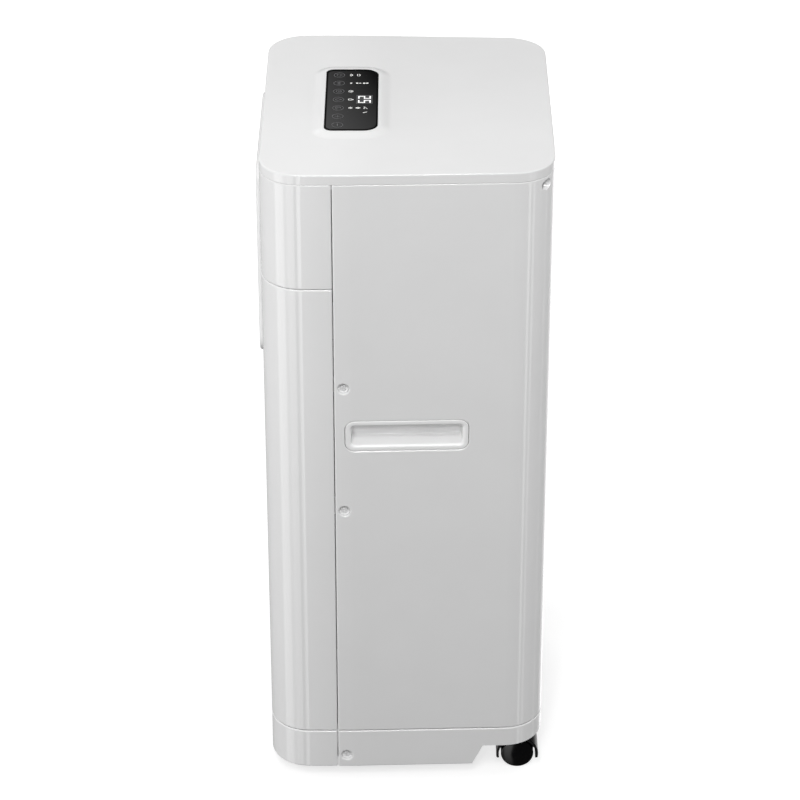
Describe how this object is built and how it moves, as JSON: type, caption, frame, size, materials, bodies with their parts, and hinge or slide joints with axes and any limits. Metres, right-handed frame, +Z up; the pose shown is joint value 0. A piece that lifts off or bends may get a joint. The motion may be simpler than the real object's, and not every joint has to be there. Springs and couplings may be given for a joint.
{
  "type": "dehumidifier",
  "caption": "Tall floor-standing dehumidifier in a rounded casing: front louvre outlet, touch panel on top, side grip cups, rear filter, pull-out water tank, twin-wheel casters.",
  "frame": {"origin": "on the floor, under the middle of the casing", "axes": "+Z up, -Y towards the front with the louvre outlet, +X towards the right side as the panel is read"},
  "size_m": [0.33, 0.2888, 0.698],
  "materials": {
    "white_abs": "fine-textured moulded",
    "black_glass": "polished, printed behind",
    "board": "solder mask",
    "readout": "cast window over segments",
    "white_louvre": "moulded",
    "grey_plastic": "moulded",
    "steel_screw": "zinc plated",
    "galvanised": "galvanised sheet",
    "fan_plastic": "moulded",
    "motor_paint": "dip painted",
    "fin_foil": "bright foil",
    "copper": "drawn tube",
    "compressor_paint": "gloss enamel",
    "black_rubber": "moulded",
    "clear_hose": "extruded",
    "tank_plastic": "moulded",
    "float_foam": "closed-cell foam",
    "filter_net": "woven net in a moulded frame",
    "caster_nylon": "moulded",
    "caster_tread": "moulded"
  },
  "bodies": {
    "casing": {"top_cover": "white_abs", "control_glass": "black_glass", "control_board": "board", "readout_module": "readout", "front_upper_shell": "white_abs", "front_lower_shell": "white_abs", "rear_shell": "white_abs", "base_tray": "white_abs", "front_skirt": "white_abs", "grip_cup_right": "white_abs", "grip_cup_left": "white_abs", "side_screws": "steel_screw", "rear_screws": "steel_screw", "outlet_frame": "white_abs", "outlet_guard": "grey_plastic", "swing_motor": "grey_plastic", "fan_bulkhead": "galvanised", "motor_spider": "galvanised", "fan_motor": "motor_paint", "condenser_fins": "fin_foil", "condenser_bends": "copper", "evaporator_fins": "fin_foil", "evaporator_bends": "copper", "capillary": "copper", "mid_deck": "galvanised", "drip_tray": "grey_plastic", "drain_hose": "clear_hose", "drain_fitting": "grey_plastic", "cord_gland": "black_rubber", "compressor": "compressor_paint", "compressor_grommets": "black_rubber", "compressor_studs": "steel_screw", "accumulator": "compressor_paint", "discharge_pipe": "copper", "suction_pipe": "copper", "bay_wall": "galvanised", "power_box": "grey_plastic"},
    "fan": {"fan_shaft": "steel_screw", "fan_wheel": "fan_plastic"},
    "blade_1": {"louvre_blade_1": "white_louvre"},
    "blade_2": {"louvre_blade_2": "white_louvre"},
    "blade_3": {"louvre_blade_3": "white_louvre"},
    "blade_4": {"louvre_blade_4": "white_louvre"},
    "blade_5": {"louvre_blade_5": "white_louvre"},
    "tie_bar": {"louvre_tie_bar": "white_louvre"},
    "tank": {"water_tank": "tank_plastic"},
    "bail": {"tank_bail": "tank_plastic"},
    "float": {"tank_float": "float_foam"},
    "intake": {"intake_grille": "white_abs", "intake_filter": "filter_net"},
    "plug": {"drain_plug": "black_rubber"},
    "caster_front_left": {"caster_hood_front_left": "caster_nylon"},
    "wheels_front_left": {"caster_wheels_front_left": "caster_tread"},
    "caster_front_right": {"caster_hood_front_right": "caster_nylon"},
    "wheels_front_right": {"caster_wheels_front_right": "caster_tread"},
    "caster_rear_left": {"caster_hood_rear_left": "caster_nylon"},
    "wheels_rear_left": {"caster_wheels_rear_left": "caster_tread"},
    "caster_rear_right": {"caster_hood_rear_right": "caster_nylon"},
    "wheels_rear_right": {"caster_wheels_rear_right": "caster_tread"}
  },
  "joints": [
    {"name": "fan_spin", "type": "hinge", "parent": "casing", "child": "fan", "pos_m": [0, -0.06, 0.567], "axis": [0, 1, 0], "continuous": true},
    {"name": "louvre_swing", "type": "hinge", "parent": "casing", "child": "blade_3", "pos_m": [0, -0.1215, 0.567], "axis": [1, 0, 0], "range_deg": [-45, 45]},
    {"name": "louvre_follow_1", "type": "hinge", "parent": "casing", "child": "blade_1", "pos_m": [0, -0.1215, 0.635], "axis": [1, 0, 0], "range_deg": [-45, 45]},
    {"name": "louvre_follow_2", "type": "hinge", "parent": "casing", "child": "blade_2", "pos_m": [0, -0.1215, 0.601], "axis": [1, 0, 0], "range_deg": [-45, 45]},
    {"name": "louvre_follow_4", "type": "hinge", "parent": "casing", "child": "blade_4", "pos_m": [0, -0.1215, 0.533], "axis": [1, 0, 0], "range_deg": [-45, 45]},
    {"name": "louvre_follow_5", "type": "hinge", "parent": "casing", "child": "blade_5", "pos_m": [0, -0.1215, 0.499], "axis": [1, 0, 0], "range_deg": [-45, 45]},
    {"name": "tie_bar_turn", "type": "hinge", "parent": "blade_3", "child": "tie_bar", "pos_m": [0.079, -0.1115, 0.567], "axis": [1, 0, 0], "range_deg": [-45, 45]},
    {"name": "tank_slide", "type": "slide", "parent": "casing", "child": "tank", "axis": [0, 1, 0], "range_m": [0, 0.145]},
    {"name": "bail_swing", "type": "hinge", "parent": "tank", "child": "bail", "pos_m": [0, 0.0715, 0.278], "axis": [-1, 0, 0], "range_deg": [0, 90]},
    {"name": "float_lift", "type": "hinge", "parent": "tank", "child": "float", "pos_m": [-0.082, 0.0175, 0.23], "axis": [1, 0, 0], "range_deg": [0, 25]},
    {"name": "intake_pull", "type": "slide", "parent": "casing", "child": "intake", "axis": [0, 1, 0], "range_m": [0, 0.05]},
    {"name": "plug_pull", "type": "slide", "parent": "casing", "child": "plug", "axis": [0, 1, 0], "range_m": [0, 0.018]},
    {"name": "swivel_front_left", "type": "hinge", "parent": "casing", "child": "caster_front_left", "pos_m": [-0.108, -0.094, 0.039], "axis": [0, 0, 1], "continuous": true},
    {"name": "roll_front_left", "type": "hinge", "parent": "caster_front_left", "child": "wheels_front_left", "pos_m": [-0.108, -0.086, 0.017], "axis": [1, 0, 0], "continuous": true},
    {"name": "swivel_front_right", "type": "hinge", "parent": "casing", "child": "caster_front_right", "pos_m": [0.108, -0.094, 0.039], "axis": [0, 0, 1], "continuous": true},
    {"name": "roll_front_right", "type": "hinge", "parent": "caster_front_right", "child": "wheels_front_right", "pos_m": [0.108, -0.086, 0.017], "axis": [1, 0, 0], "continuous": true},
    {"name": "swivel_rear_left", "type": "hinge", "parent": "casing", "child": "caster_rear_left", "pos_m": [-0.13, 0.1075, 0.039], "axis": [0, 0, 1], "continuous": true},
    {"name": "roll_rear_left", "type": "hinge", "parent": "caster_rear_left", "child": "wheels_rear_left", "pos_m": [-0.13, 0.1155, 0.017], "axis": [1, 0, 0], "continuous": true},
    {"name": "swivel_rear_right", "type": "hinge", "parent": "casing", "child": "caster_rear_right", "pos_m": [0.13, 0.1075, 0.039], "axis": [0, 0, 1], "continuous": true},
    {"name": "roll_rear_right", "type": "hinge", "parent": "caster_rear_right", "child": "wheels_rear_right", "pos_m": [0.13, 0.1155, 0.017], "axis": [1, 0, 0], "continuous": true}
  ],
  "couplings": [
    {"joint": "louvre_follow_1", "follows": "louvre_swing", "ratio": 1},
    {"joint": "louvre_follow_2", "follows": "louvre_swing", "ratio": 1},
    {"joint": "louvre_follow_4", "follows": "louvre_swing", "ratio": 1},
    {"joint": "louvre_follow_5", "follows": "louvre_swing", "ratio": 1},
    {"joint": "tie_bar_turn", "follows": "louvre_swing", "ratio": -1}
  ]
}
